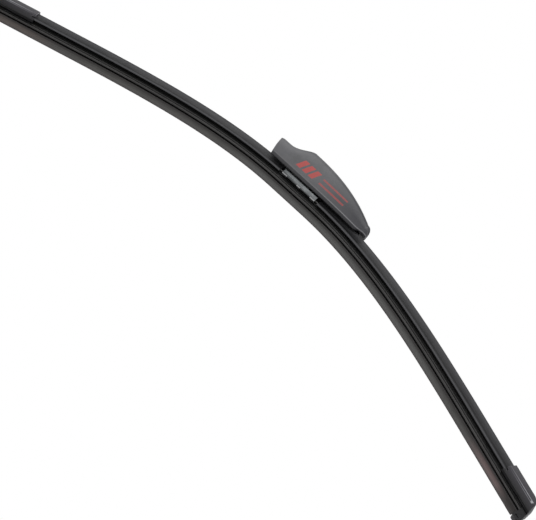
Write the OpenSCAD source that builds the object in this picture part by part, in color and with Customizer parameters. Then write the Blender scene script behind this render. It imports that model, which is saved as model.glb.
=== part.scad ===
// Flat-type windscreen wiper blade with a hook connector under a fin-shaped cover.
// X runs along the blade, +Z points away from the glass, and the origin is on the
// rivet that the connector rocks on. Section sizes are w, up from the rail underside,
// and u, out from the middle plane.

/* [Blade] */
// Length of the wiping rubber
blade_length = 600; // [400:10:700]
// How far the connector sits off the middle of the blade
connector_offset = 12.5; // [0:0.5:30]
// Radius that the free blade bends to beside the bracket
centre_radius = 314; // [250:1:500]
// Straight stretch at each end, of which the end cap holds a part
tip_straight = 73; // [40:1:140]
// Height of the rivet axis over the underside of the spring rails
pin_rise = 12; // [11:0.25:15]

/* [Spring rails] */
// Width of one spring rail
rail_width = 4.5; // [3.5:0.1:4.8]
// Thickness of the spring rails
rail_thick = 0.9; // [0.6:0.05:1.2]
// How far the rails stop short of the rubber's ends
rail_setback = 3; // [2:0.5:6]
// Gap kept round each rail
rail_gap = 0.06; // [0.04:0.01:0.1]

/* [Rubber] */
// Depth of the wiping lip below the shoulders
lip_depth = 5.8; // [5:0.2:8]
// Half thickness of the wiping edge
lip_edge = 0.35; // [0.25:0.05:0.6]
// Half thickness of the lip at its root
lip_root = 2.6; // [2:0.1:3]
// Half thickness of the hinge neck over the lip
neck_half = 0.6; // [0.4:0.05:1]
// Height of the hinge neck
neck_height = 1.3; // [0.5:0.1:1.5]
// Half width of the shoulders
shoulder_half = 3; // [2.6:0.1:3.2]
// Height of both shoulders with the groove between them
shoulder_height = 3.4; // [2.6:0.1:4]
// Half width of the waist over the shoulders
waist_half = 1.6; // [1:0.1:2]
// Height of the waist
waist_height = 2.3; // [1.6:0.1:3]
// Thickness of the flange under the rails
flange_thick = 1.15; // [0.8:0.05:1.5]
// Half width of the flange and the head
head_half = 3.2; // [2.6:0.1:3.3]
// Half thickness of the web between the rails
web_half = 0.95; // [0.7:0.05:1.2]
// Height of the head over the rails
head_height = 1.45; // [1:0.05:1.5]

/* [Spoilers] */
// Height of the spoiler's crest over the rail underside
crest_height = 9.2; // [8:0.2:11]
// Half width of the spoiler at its lower lip
spoiler_half = 6.3; // [6.1:0.1:6.6]
// Wall thickness at the crest
spoiler_wall = 1.3; // [1:0.1:1.8]
// How far the spoiler's claws reach under the rails
spoiler_claw = 0.9; // [0.5:0.1:1.2]
// Gap between each spoiler and the bracket
spoiler_gap = 3; // [1:0.5:5]
// How far each spoiler stops short of the rubber's end
spoiler_setback = 9; // [8:0.5:14]

/* [End caps] */
// Length of the cap over the rubber
cap_length = 32.5; // [26:0.5:33]
// How far the toe stands beyond the rubber's end
cap_toe = 8; // [6:0.5:10]
// Wall over the spoiler's crest
cap_wall = 1.2; // [0.9:0.1:1.6]
// Half width of the cap at its ridge
cap_half = 7.2; // [7:0.1:7.6]
// Half width of the cap's flat top
cap_top_half = 2; // [1.5:0.1:3]
// Height of the cap's ridge over the rail underside
cap_ridge = 3.2; // [2.4:0.1:4]
// Depth of the cap's floor under the rail underside
cap_floor = 3.9; // [3.4:0.1:4.2]
// Half width of the toe
toe_half = 4; // [3.6:0.1:4.5]
// Height kept between the toe and the glass
toe_clear = 0.7; // [0.4:0.1:1.5]
// Gap between the cap and what it holds
cap_gap = 0.12; // [0.05:0.01:0.2]

/* [Bracket] */
// Length of the bracket
bracket_length = 35; // [30:1:44]
// Thickness of the bracket's sheet
sheet = 1; // [0.8:0.05:1.1]
// Length of each end claw along the blade
claw_length = 5; // [3:0.5:7]
// Gap between the claws and the rubber's flange
claw_gap = 0.3; // [0.2:0.05:0.6]
// Gap between the bracket's floor and the rubber's head
head_gap = 0.45; // [0.2:0.05:0.5]
// Half length of an ear at its foot
ear_foot = 7; // [6:0.5:9]
// Radius of an ear round the rivet
ear_round = 4.4; // [3.8:0.1:4.4]

/* [Rivet] */
// Radius of the rivet's shank
rivet_r = 2.5; // [2:0.1:2.8]
// Radius of the rivet's heads
rivet_head_r = 3.4; // [3.1:0.1:3.6]
// Thickness of the rivet's heads
rivet_head = 0.6; // [0.4:0.05:0.7]

/* [Hook adapter] */
// Width of the adapter between the bracket's ears
adapter_width = 9; // [8:0.1:9.2]
// Radius of the adapter's barrel, which the arm's hook goes round
barrel_r = 4.6; // [4.3:0.1:5]
// Running gap between the adapter's bore and the rivet
bore_gap = 0.05; // [0.03:0.01:0.1]
// Side gap between the adapter and each ear
side_gap = 0.25; // [0.15:0.05:0.4]
// How far the adapter reaches towards the nose
adapter_reach = 24; // [22:0.5:26]
// Place of the cross pin that carries the cover
cross_pin_x = 19; // [18:0.5:20]
// Radius of the cross pin
cross_pin_r = 1.6; // [1.2:0.1:1.8]

/* [Cover] */
// Distance from the rivet to the cover's open nose
cover_nose = 40.5; // [34:0.5:44]
// Distance from the rivet to the cover's tail
cover_tail = 65.5; // [60:0.5:70]
// Height of the nose's roof over the rail underside
nose_height = 24.5; // [22:0.5:25]
// Height of the cover's crest over the rail underside
hood_height = 34.5; // [28:0.5:36]
// Wall thickness of the cover
cover_wall = 1.35; // [1:0.05:1.5]
// Half width of the cover at its side ridge
cover_half = 9.2; // [9.1:0.1:10]
// Height of the side ridge over the rail underside
cover_ridge = 7; // [6.4:0.1:7.5]
// Height of the cover's lower edge over the rail underside
cover_edge = 4.5; // [4.4:0.1:5]

/* [Hidden] */
$fn = 64;
steps = 12;
merge_margin = 0.5;

half_left = blade_length / 2 - connector_offset;
half_right = blade_length / 2 + connector_offset;
seat_half = bracket_length / 2;
spoiler_start = seat_half + spoiler_gap;

rail_in = web_half + rail_gap * 3;
rail_out = rail_in + rail_width;
flange_top = -rail_gap;
flange_low = flange_top - flange_thick;
waist_low = flange_low - waist_height;
shoulder_low = waist_low - shoulder_height;
neck_low = shoulder_low - neck_height;
lip_low = neck_low - lip_depth;
head_low = rail_thick + rail_gap;
head_top = head_low + head_height;

bracket_in = rail_out + rail_gap * 2;
bracket_out = bracket_in + sheet;
floor_low = head_top + head_gap;
floor_top = floor_low + sheet;
ear_in = adapter_width / 2 + side_gap;
ear_out = ear_in + sheet;
rivet_end = ear_out + rivet_head;

// Directions and places along the bent blade

// Degrees that half of the blade has turned through at a distance from the rivet
function turn(half, s) =
    let (free = half - seat_half, left = (half - max(seat_half, min(s, half - tip_straight))) / free)
    180 / PI * free / (3 * centre_radius) * (1 - pow(left, 3));
// Distance of a station, with the stations closer together where the bend is tighter
function reach(half, i) =
    let (free = half - seat_half)
    seat_half + free * (1 - sqrt(1 - i / steps * (1 - pow(tip_straight / free, 2))));
// Whole stations that a distance has passed
function passed(half, s) =
    let (free = half - seat_half)
    min(steps - 1, floor(steps * (1 - pow((half - s) / free, 2)) / (1 - pow(tip_straight / free, 2))));
// Place of a station, found by walking from the rivet
function walk(half, i) =
    i == 0 ? [seat_half, 0] :
    let (from = walk(half, i - 1), a = reach(half, i - 1), b = reach(half, i), t = turn(half, (a + b) / 2))
    from + (b - a) * [cos(t), -sin(t)];
function station(half, i) = concat(walk(half, i), [turn(half, reach(half, i))]);
// Place and angle at a distance: straight at both ends, on the chord between stations
function frame_at(half, s) =
    s <= seat_half ? [s, 0, 0] :
    s >= half - tip_straight ?
        let (tip = station(half, steps), d = s - (half - tip_straight))
        tip + d * [cos(tip[2]), -sin(tip[2]), 0] :
    let (i = passed(half, s), a = reach(half, i), b = reach(half, i + 1), f = (s - a) / (b - a))
    station(half, i) * (1 - f) + station(half, i + 1) * f;
function frames(half, from, to) = concat(
    [frame_at(half, from)],
    [for (i = [0 : steps]) let (s = reach(half, i)) if (s > from + merge_margin && s < to - merge_margin)
        station(half, i)],
    [frame_at(half, to)]);
function reversed(list) = [for (i = [len(list) - 1 : -1 : 0]) list[i]];
function mirrored(list) = [for (f = reversed(list)) [-f[0], f[1], -f[2]]];
// Both halves of a piece that runs the whole blade, from the nose side to the tail side
function whole(setback) = concat(
    mirrored(frames(half_left, seat_half, half_left - setback)),
    frames(half_right, seat_half, half_right - setback));
function up_from(f, w) = [f[0] + w * sin(f[2]), f[1] + w * cos(f[2])];

// A section swept along frames. Its outline is two lists of [u, w] points of equal
// length, and each end is closed with one face between neighbouring pairs.
module sweep(side_a, side_b, along) {
    ring = concat(side_a, reversed(side_b));
    n = len(side_a);
    r = 2 * n;
    last = (len(along) - 1) * r;
    points = [for (f = along) for (p = ring) let (q = up_from(f, p[1])) [q[0], p[0], q[1]]];
    skin = [for (k = [0 : len(along) - 2]) for (j = [0 : r - 1]) let (a = k * r, m = (j + 1) % r)
        [a + j, a + r + j, a + r + m, a + m]];
    start_face = [for (j = [0 : n - 2]) [j, j + 1, r - 2 - j, r - 1 - j]];
    end_face = [for (j = [0 : n - 2]) [last + r - 1 - j, last + r - 2 - j, last + j + 1, last + j]];
    polyhedron(points, concat(skin, start_face, end_face));
}

// Everything drawn inside starts at the rail underside
module on_rails() {
    translate([0, 0, -pin_rise]) children();
}

// Drawn at the end of a half of the blade, with X outwards from the rubber's end
module at_tip(half) {
    f = frame_at(half, half);
    translate([f[0], 0, f[1]]) rotate([0, f[2], 0]) children();
}

// A flat side outline of [x, w] points with a thickness across the blade
module across(half_width) {
    translate([0, half_width, 0]) rotate([90, 0, 0]) linear_extrude(2 * half_width) children();
}

// A flat [u, w] section with a length along the blade
module along_blade(from, to) {
    translate([from, 0, 0]) rotate([90, 0, 90]) linear_extrude(to - from) children();
}

// A rod across the blade, centred on the middle plane
module cross_rod(r, half_width) {
    rotate([90, 0, 0]) cylinder(r = r, h = 2 * half_width, center = true);
}

// Rubber

lip_shoulder = neck_low - 0.5;
groove_low = waist_low - shoulder_height * 0.38;
groove_half = shoulder_half - 0.7;
rubber_side = [
    [lip_edge, lip_low],
    [lip_edge + 0.1, lip_low + lip_depth * 0.25],
    [lip_edge + 0.55, lip_low + lip_depth * 0.5],
    [lip_root - 0.2, lip_shoulder - 0.45],
    [lip_root, lip_shoulder],
    [lip_root - 0.1, neck_low],
    [neck_half, neck_low + 0.05],
    [neck_half, shoulder_low - 0.05],
    [shoulder_half - 0.15, shoulder_low],
    [shoulder_half, shoulder_low + 0.2],
    [shoulder_half, groove_low - 0.25],
    [groove_half, groove_low - 0.2],
    [groove_half, groove_low],
    [shoulder_half, groove_low + 0.05],
    [shoulder_half, waist_low - 0.2],
    [shoulder_half - 0.2, waist_low],
    [waist_half, waist_low + 0.1],
    [waist_half, flange_low - 0.1],
    [head_half, flange_low],
    [head_half, flange_top - 0.02],
    [web_half, flange_top],
    [web_half, head_low],
    [head_half, head_low + 0.02],
    [head_half, head_top - 0.4],
    [head_half - 0.5, head_top]];

module wiper_rubber() {
    color([0.16, 0.155, 0.15]) on_rails()
        sweep([for (p = rubber_side) [-p[0], p[1]]], rubber_side, whole(0));
}

// Spring rails

module rail() {
    line = whole(rail_setback);
    outline = concat([for (f = line) up_from(f, rail_thick)], [for (f = reversed(line)) up_from(f, 0)]);
    on_rails() translate([0, -rail_in, 0]) rotate([90, 0, 0]) linear_extrude(rail_width) polygon(outline);
}

module rail_front() {
    color([0.3, 0.3, 0.31]) rail();
}

module rail_back() {
    color([0.3, 0.3, 0.31]) mirror([0, 1, 0]) rail();
}

// Spoilers

claw_low = -0.75;
// The outer lip hangs lower than the claw under the rail
skirt_low = -1.6;
slot_out = rail_out + rail_gap * 2;
slot_low = -rail_gap;
slot_top = rail_thick + rail_gap;
// Outer face from under the rail, round the lower lip and up the hollow side to the crest
spoiler_rise = crest_height - 1.6;
function spoiler_face(t) =
    [(spoiler_half - 1.1) * pow(1 - t, 1.35) + 0.9 * t, 1.6 + (spoiler_rise - 0.4) * t];
spoiler_outer = concat(
    [[rail_out - spoiler_claw, claw_low], [spoiler_half - 0.4, skirt_low],
     [spoiler_half, skirt_low + 0.35],
     [spoiler_half - 0.1, 0.4]],
    [for (i = [0 : 5]) spoiler_face(i / 5)],
    [[0.4, crest_height - 0.08]]);
spoiler_inner = concat(
    [[rail_out - spoiler_claw, slot_low], [slot_out, slot_low + 0.01], [slot_out, slot_top - 0.2],
     [slot_out - 0.05, slot_top]],
    [[rail_out - 1, slot_top + 0.01]],
    [for (i = [1 : 5]) let (p = spoiler_face(i / 5 * 0.72)) [max(0.55, p[0] - spoiler_wall), p[1]]],
    [[0.3, crest_height - spoiler_wall]]);

function both_sides(side) = concat([for (p = side) [-p[0], p[1]]], reversed(side));

module spoiler(along) {
    color([0.3, 0.3, 0.31]) on_rails() sweep(both_sides(spoiler_outer), both_sides(spoiler_inner), along);
}

module spoiler_left() {
    spoiler(mirrored(frames(half_left, spoiler_start, half_left - spoiler_setback)));
}

module spoiler_right() {
    spoiler(frames(half_right, spoiler_start, half_right - spoiler_setback));
}

// End caps

cap_top = crest_height + cap_wall;
toe_low = lip_low + toe_clear;
cap_corner = 1.2;
cap_nose_r = 10;
toe_r = 2.4;
// Length, width and depth of the slots beside the toe, deep enough to reach the spoiler's room
cap_side_slot = [14, 2.2, cap_floor + skirt_low + 0.3];
toe_pocket = [4, 1.4, 0.9];
cap_notch = [3, 1.4];
// Narrow flat along the ridge: width, how far it starts under the ridge and ends over it
cap_facet = [0.9, 0.6, 1.2];

// Outer section, with the toe's sides below the floor
cap_section = both_sides([
    [toe_half, toe_low], [toe_half, -cap_floor - 0.01], [cap_half - cap_corner, -cap_floor],
    [cap_half, -cap_floor + cap_corner], [cap_half, cap_ridge - cap_facet[1]],
    [cap_half - cap_facet[0], cap_ridge + cap_facet[2]], [cap_top_half, cap_top]]);

// Side outline of the cap, rounded over the end and down the sloping toe
function arc(centre, r, from, to, n) =
    [for (i = [0 : n]) let (a = from + (to - from) * i / n) centre + r * [cos(a), sin(a)]];
cap_outline = concat(
    [[-cap_length + 0.6, cap_top]],
    arc([cap_toe - 3.4 - cap_nose_r, cap_top - cap_nose_r], cap_nose_r, 90, 8, 10),
    arc([cap_toe - toe_r, toe_low + toe_r + 0.8], toe_r, 15, -60, 6),
    [[cap_toe - toe_r - 0.4, toe_low], [0.9, toe_low], [cap_gap * 2, toe_low + 0.7],
     [cap_gap * 2, -cap_floor], [-cap_length, -cap_floor]]);

// Room for the spoiler's section in the cap, with the gap all round
function widened(side, gap) = [for (p = side) [p[0] + gap, p[1] + gap]];

module cap_hollow() {
    inner = -cap_length - 1;
    along_blade(inner, -spoiler_setback + cap_gap)
        polygon(both_sides(widened([for (i = [2 : len(spoiler_outer) - 1]) spoiler_outer[i]], cap_gap)));
    along_blade(inner, -spoiler_setback + cap_gap)
        translate([-spoiler_half - cap_gap, skirt_low - cap_gap])
            square([2 * (spoiler_half + cap_gap), 0.55 - skirt_low]);
    along_blade(inner, -rail_setback + cap_gap)
        translate([-rail_out - cap_gap, -cap_gap])
            square([2 * (rail_out + cap_gap), rail_thick + 2 * cap_gap]);
    along_blade(inner, cap_gap * 2)
        translate([-head_half - cap_gap, -cap_floor - 1])
            square([2 * (head_half + cap_gap), head_top + cap_gap + cap_floor + 1]);
}

module end_cap() {
    difference() {
        intersection() {
            along_blade(-cap_length, cap_toe + 1) polygon(cap_section);
            across(cap_half + 1) polygon(cap_outline);
        }
        cap_hollow();
        for (side = [-1, 1]) {
            // Slot through the floor beside the toe
            translate([-cap_side_slot[0] / 2 + cap_gap, side * (rail_out - 0.6), -cap_floor])
                cube([cap_side_slot[0], cap_side_slot[1], 2 * cap_side_slot[2]], center = true);
            // Pocket in the toe's flank
            translate([cap_toe / 2, side * toe_half, toe_low + 1.8])
                cube([toe_pocket[0], 2 * toe_pocket[2], toe_pocket[1]], center = true);
            // Latch notch at the inner end of the side wall
            translate([-cap_length + cap_notch[0] / 2 - 0.5, side * cap_half, 0.1])
                cube([cap_notch[0] + 1, 3, cap_notch[1]], center = true);
        }
    }
}

module end_cap_right() {
    color([0.29, 0.29, 0.3]) on_rails() at_tip(half_right) end_cap();
}

module end_cap_left() {
    color([0.29, 0.29, 0.3]) rotate([0, 0, 180]) on_rails() at_tip(half_left) end_cap();
}

// Bracket

bend_r = 1;
claw_in = head_half + claw_gap;
space_from = claw_length * 0.35;
space_to = seat_half - claw_length;
// Width of the fold that the side walls keep between the claws
wall_foot = 0.4;

module rounded_rect(width, height, r) {
    square([width - 2 * r, height], center = true);
    square([width, height - 2 * r], center = true);
    for (x = [-1, 1]) for (y = [-1, 1])
        translate([x * (width / 2 - r), y * (height / 2 - r)]) circle(r = r);
}

// Folded strip round the rails, seen along the blade
module saddle_section() {
    low = -rail_gap - sheet;
    difference() {
        translate([0, (floor_top + low) / 2]) rounded_rect(2 * bracket_out, floor_top - low, bend_r);
        translate([0, (floor_low - rail_gap) / 2])
            square([2 * bracket_in, floor_low + rail_gap], center = true);
        translate([0, low]) square([2 * claw_in, 2 * sheet], center = true);
    }
}

module ear() {
    translate([0, pin_rise]) circle(r = ear_round);
    touch = [ear_round * 0.94, pin_rise + ear_round * 0.34];
    polygon([[-ear_foot, floor_low], [ear_foot, floor_low], [ear_foot, floor_top + 0.8],
             touch, [-touch[0], touch[1]], [-ear_foot, floor_top + 0.8]]);
}

module bracket() {
    color([0.62, 0.63, 0.64]) on_rails() difference() {
        union() {
            along_blade(-seat_half, seat_half) saddle_section();
            for (side = [-1, 1]) translate([0, side * (ear_in + ear_out) / 2, 0]) across(sheet / 2) ear();
        }
        // Spaces between the claws
        for (side = [-1, 1])
            translate([side * (space_from + space_to) / 2, 0, -rail_gap - sheet])
                cube([space_to - space_from, 2 * (bracket_in - wall_foot), 2 * sheet], center = true);
        // Window in the floor that the ears leave
        translate([0, 0, floor_top]) cube([2 * ear_foot, 2 * claw_in, 4 * sheet], center = true);
        translate([0, 0, pin_rise]) cross_rod(rivet_r, 2 * bracket_out);
    }
}

// Rivet

module rivet() {
    color([0.7, 0.7, 0.72]) {
        cross_rod(rivet_r, rivet_end);
        for (side = [-1, 1]) translate([0, side * (ear_out + rivet_head / 2), 0])
            cross_rod(rivet_head_r, rivet_head / 2);
    }
}

// Hook adapter

body_left = -14;
tail_low = 1.9;
heel_low = -1.5;
latch = [8, 4.2, 0.7];
latch_slot = [9, 0.8, 4.8];
core_pocket = [7, 5, 1.2];
cross_pin_z = 2.4;

module adapter_outline() {
    circle(r = barrel_r);
    translate([body_left, -barrel_r]) square([-body_left, 2 * barrel_r]);
    polygon([[body_left + 1, barrel_r], [-adapter_reach, barrel_r], [-adapter_reach, tail_low],
             [body_left, heel_low], [body_left + 1, heel_low]]);
}

module hook_adapter() {
    // The cross pin's ends meet the cover's inner faces
    cross_pin_end = hood_half(-cross_pin_x, pin_rise + cross_pin_z + cross_pin_r, cover_wall) - bore_gap;
    color([0.12, 0.12, 0.125]) difference() {
        union() {
            across(adapter_width / 2) adapter_outline();
            // Latch tongue that drops into the hole of the arm's hook
            translate([body_left + 2, 0, barrel_r]) cube([latch[0], latch[1], 2 * latch[2]], center = true);
            translate([-cross_pin_x, 0, cross_pin_z]) cross_rod(cross_pin_r, cross_pin_end);
        }
        cross_rod(rivet_r + bore_gap, adapter_width);
        // Slots that free the latch tongue
        for (side = [-1, 1]) {
            translate([body_left + 2, side * (latch[1] + latch_slot[1]) / 2, barrel_r])
                cube(latch_slot, center = true);
            translate([body_left + core_pocket[0] / 2 + 1.5, side * adapter_width / 2, -0.4])
                cube([core_pocket[0] - 2, 2 * core_pocket[2], core_pocket[1]], center = true);
        }
    }
}

// Cover

cover_lean = 0.26;
lean_length = 14;
rise_from = -32;
rise_to = -12;
round_from = cover_tail - 5.5;
fall_power = 2.3;
tail_fall = 16.3;
narrow_from = 12;
crest_half = 2.6;
nose_crest_half = 5.8;
crest_drop = 2.4;
side_bulge = 1.6;
edge_in = 0.9;
edge_rise_from = 54;
tail_edge_rise = 2.8;
tail_ridge_rise = 1.3;
body_stations = 26;
tail_stations = 5;

function clamp01(v) = max(0, min(1, v));
function smooth(v) = let (t = clamp01(v)) t * t * (3 - 2 * t);
// How far the S-shaped rise behind the nose has come, from 0 to 1
function risen(x) = smooth(pow(clamp01((x - rise_from) / (rise_to - rise_from)), 1.3));
// How far the tail's rounding has come, from 0 to 1
function rounded_off(x) =
    let (t = clamp01((x - round_from) / (cover_tail - round_from)))
    1 - sqrt(1 - 0.97 * t * t);
function edge_at(x) =
    cover_edge + tail_edge_rise * smooth((x - edge_rise_from) / (round_from - edge_rise_from));
function ridge_at(x) =
    cover_ridge + tail_ridge_rise * smooth((x - edge_rise_from) / (cover_tail - edge_rise_from));
function crest_at(x) =
    let (fall = tail_fall * pow(clamp01((x - rise_to) / (round_from - rise_to)), fall_power),
         top = nose_height + (hood_height - nose_height) * risen(x) - fall)
    top - (top - ridge_at(x) - 2) * rounded_off(x);
function half_at(x) =
    let (plain = cover_half - 3.4 * pow(clamp01((x - narrow_from) / (round_from - narrow_from)), 2))
    plain - (plain - 2.6) * rounded_off(x);
function crest_half_at(x) =
    (nose_crest_half + (crest_half - nose_crest_half) * risen(x)) * (1 - 0.35 * rounded_off(x));

// One half of the cover's section, from the lower edge to the crest, drawn in by a wall
function hood_side(x, wall) =
    let (half = half_at(x) - wall, crest = crest_at(x) - wall, ridge = ridge_at(x),
         top_half = min(crest_half_at(x) - wall * 0.4, half * 0.7),
         drop = min(crest_drop, (crest - ridge) * 0.4),
         shoulder = crest - drop, bulge = side_bulge * clamp01((crest - ridge) / 12))
    concat(
        [[half - edge_in * (1 - rounded_off(x) * 0.5), edge_at(x)], [half, ridge]],
        [for (t = [0.2, 0.4, 0.6, 0.8]) [half + (top_half - half) * t + bulge * sin(180 * t),
                                       ridge + (shoulder - ridge) * t]],
        [for (a = [0, 30, 60]) [top_half * cos(a), shoulder + drop * sin(a)]],
        [[0, crest]]);
function hood_ring(x, wall) =
    let (side = hood_side(x, wall), n = len(side),
         lean = cover_lean * clamp01(1 - (x + cover_nose) / lean_length))
    [for (p = concat([for (q = side) [-q[0], q[1]]], [for (i = [n - 2 : -1 : 0]) side[i]]))
        [x + lean * (nose_height - p[1]), p[0], p[1]]];

// Open hood: an outer skin, an inner skin that stops before the tail, and the rims between
module hood() {
    body_length = round_from + cover_nose;
    tail_length = cover_tail - round_from;
    xs = concat([for (i = [0 : body_stations]) -cover_nose + body_length * i / body_stations],
                [for (i = [1 : tail_stations]) round_from + tail_length * sin(90 * i / tail_stations)]);
    m = body_stations;
    n = len(xs) - 1;
    outer = [for (x = xs) hood_ring(x, 0)];
    inner = [for (i = [0 : m]) hood_ring(xs[i], cover_wall)];
    r = len(outer[0]);
    base = (n + 1) * r;
    points = concat([for (ring = outer) for (p = ring) p], [for (ring = inner) for (p = ring) p]);
    outer_skin = [for (k = [0 : n - 1]) for (j = [0 : r - 2])
        [k * r + j, (k + 1) * r + j, (k + 1) * r + j + 1, k * r + j + 1]];
    inner_skin = [for (k = [0 : m - 1]) for (j = [0 : r - 2]) let (a = base + k * r + j)
        [a + 1, a + r + 1, a + r, a]];
    nose_rim = [for (j = [0 : r - 2]) [j, j + 1, base + j + 1, base + j]];
    edge_rims = [for (k = [0 : m - 1]) for (j = [0, r - 1]) let (a = k * r + j, b = base + a)
        j == 0 ? [a, b, b + r, a + r] : [a + r, b + r, b, a]];
    inner_low = base + m * r;
    sole_start = [[(m + 1) * r, m * r, inner_low, inner_low + r - 1, m * r + r - 1, (m + 1) * r + r - 1]];
    sole = [for (k = [m + 1 : n - 1]) [k * r, k * r + r - 1, (k + 1) * r + r - 1, (k + 1) * r]];
    inner_end = [[for (j = [0 : r - 1]) base + m * r + j]];
    outer_end = [[for (j = [r - 1 : -1 : 0]) n * r + j]];
    rims = concat(nose_rim, edge_rims, sole_start, sole, inner_end, outer_end);
    polyhedron(points, concat(outer_skin, inner_skin, rims));
}

// Half width of the cover at a height over the rail underside, drawn in by a wall
function hood_half(x, w, wall) = lookup(w, [for (p = hood_side(x, wall)) [p[1], p[0]]]);

module cover() {
    color([0.42, 0.42, 0.43]) on_rails() hood();
}

wiper_rubber();
rail_front();
rail_back();
spoiler_left();
spoiler_right();
end_cap_left();
end_cap_right();
bracket();
rivet();
hook_adapter();
cover();
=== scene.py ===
import math

import bmesh
import bpy
from mathutils import Matrix, Vector


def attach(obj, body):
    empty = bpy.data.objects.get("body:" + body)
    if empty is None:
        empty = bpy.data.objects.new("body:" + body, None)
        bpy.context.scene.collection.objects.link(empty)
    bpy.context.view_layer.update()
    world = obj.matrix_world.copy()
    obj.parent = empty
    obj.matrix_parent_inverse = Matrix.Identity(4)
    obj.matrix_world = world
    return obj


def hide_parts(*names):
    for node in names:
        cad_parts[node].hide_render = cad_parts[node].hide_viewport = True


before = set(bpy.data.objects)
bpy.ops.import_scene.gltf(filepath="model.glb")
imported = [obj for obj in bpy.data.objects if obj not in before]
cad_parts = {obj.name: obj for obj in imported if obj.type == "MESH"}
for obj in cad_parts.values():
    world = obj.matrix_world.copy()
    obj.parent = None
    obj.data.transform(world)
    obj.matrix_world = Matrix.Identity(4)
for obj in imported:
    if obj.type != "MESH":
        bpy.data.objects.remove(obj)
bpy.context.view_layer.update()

MM = 0.001

# Blade
HALF_LEFT = 287.5
HALF_RIGHT = 312.5
SEAT_HALF = 17.5
CENTRE_RADIUS = 314.0
TIP_STRAIGHT = 73.0
PIN_RISE = 12.0
PATH_STEP = 2.0

# Strips along the blade, as distances from the nose-side end
RUBBER_RUN = (0.0, 600.0)
RAIL_RUN = (3.0, 597.0)
SPOILER_LEFT_RUN = (9.0, 267.0)
SPOILER_RIGHT_RUN = (308.0, 591.0)

# Section of a rail
RAIL_INNER = 1.13
RAIL_OUTER = 5.63
RAIL_THICKNESS = 0.9

# Section of the spoiler: its hollow face from foot to top, and the space inside it
FACE_FOOT = 5.2
FACE_TOP = 0.9
FACE_LOW = 1.6
FACE_RISE = 7.2
FACE_POWER = 1.35
FACE_STEPS = 10
SPOILER_WALL = 1.3
SPACE_HALF = 0.55
SPACE_STEP = 0.144
SPACE_POINTS = 5

# Corners of the strips; a corner takes at most its share of each side next to it
RUBBER_CORNER = 0.18
RAIL_CORNER = 0.2
SPOILER_CORNER = 0.25
CORNER_SHARE = 0.4

# Cover: places along it, from nose to tail
NOSE_X = -40.5
RISE_FROM = -32.0
RISE_TO = -12.0
NARROW_FROM = 12.0
EDGE_RISE_FROM = 54.0
ROUND_FROM = 60.0
TAIL_X = 65.5

# Cover: how its nose leans, how the nose's top corner is rounded back, and how its crest dips
NOSE_LEAN = 0.26
LEAN_REACH = 14.0
NOSE_ROUND = 0.25
ROUND_DEPTH = 2.2
NOSE_DROP = 1.0
DROP_REACH = 3.0

# Cover: heights. The hood's is 0.01 under the CAD's, which keeps this shell inside the CAD's box
NOSE_HEIGHT = 24.5
HOOD_HEIGHT = 34.49
RISE_POWER = 1.3
TAIL_FALL = 16.3
FALL_POWER = 2.3
TAIL_OVER_RIDGE = 2.0
TAIL_ROUND = 0.97
COVER_RIDGE = 7.0
RIDGE_RISE = 1.3
COVER_EDGE = 4.5
EDGE_RISE = 2.8

# Cover: widths. The half width is 0.03 under the CAD's, for the same reason
COVER_HALF = 9.17
NARROWING = 3.4
TAIL_HALF = 2.6
CREST_HALF = 5.8
CREST_NARROWING = 3.2
CREST_TAIL_LOSS = 0.35
COVER_WALL = 1.35

# Cover: its section, with limits as shares of the height or half width there
EDGE_INSET = 0.9
INSET_TAIL_LOSS = 0.5
EDGE_ROUND = 0.5
EDGE_ROUND_STEPS = 4
SIDE_BULGE = 1.6
BULGE_FULL_AT = 12.0
SHOULDER_DROP = 2.4
SHOULDER_LIMIT = 0.4
CREST_LIMIT = 0.7
CREST_WALL_SHARE = 0.4

# Cover: how finely it is drawn
BODY_STATIONS = 100
TAIL_STATIONS = 12
SIDE_POINTS = 14
CREST_POINTS = 8

# Rounded edges: widths, and in degrees the least angle that is rounded or kept crisp
COVER_ROUND = 0.3
CAP_ROUND = 0.35
BRACKET_ROUND = 0.2
RIVET_ROUND = 0.15
ADAPTER_ROUND = 0.2
ROUND_SEGMENTS = 3
CAD_ROUND_OVER = 28
COVER_ROUND_OVER = 50
CAD_CRISP_OVER = 32
STRIP_CRISP_OVER = 38
COVER_CRISP_OVER = 40
FLAT_WITHIN = 0.5

# Points closer than this, in metres, are one point
MERGE_WITHIN = 1e-6

# Camera, fitted to the object's edges in the photograph
AZIMUTH = 15.962
ELEVATION = -24.540
ROLL = 49.452
CAMERA_FAR = 2.0
LENS = 173.82
SENSOR = 36.0
CLIP_NEAR = 0.05
CLIP_FAR = 50.0
AIM = Vector((27.63, 0.0, -74.34)) * MM

# Lamps: name, direction to the photograph's right, up and back, distance, size and watts
LAMPS = [
    ("key", 0.35, 0.9, 0.8, 1.6, 1.2, 13.0),
    ("fill", 0.9, 0.3, 0.9, 1.8, 1.4, 5.0),
    ("rim", 0.6, 0.9, -0.5, 1.6, 1.0, 6.0)]

# World and floor
WHITE = (1.0, 1.0, 1.0, 1.0)
SOFT_LIGHT = 0.4
FLOOR_Z = -1.3
FLOOR_REACH = 5.0
FLOOR_TONE = 0.86
FLOOR_WHITE = 0.6


def added(name, data):
    """A new object in the scene."""
    thing = bpy.data.objects.new(name, data)
    bpy.context.scene.collection.objects.link(thing)
    return thing


# The blade's curve

def turned(half, s):
    """Angle that half of the blade has turned through at a distance from the rivet."""
    free = half - SEAT_HALF
    left = (half - max(SEAT_HALF, min(s, half - TIP_STRAIGHT))) / free
    return free / (3 * CENTRE_RADIUS) * (1 - left**3)


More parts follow.
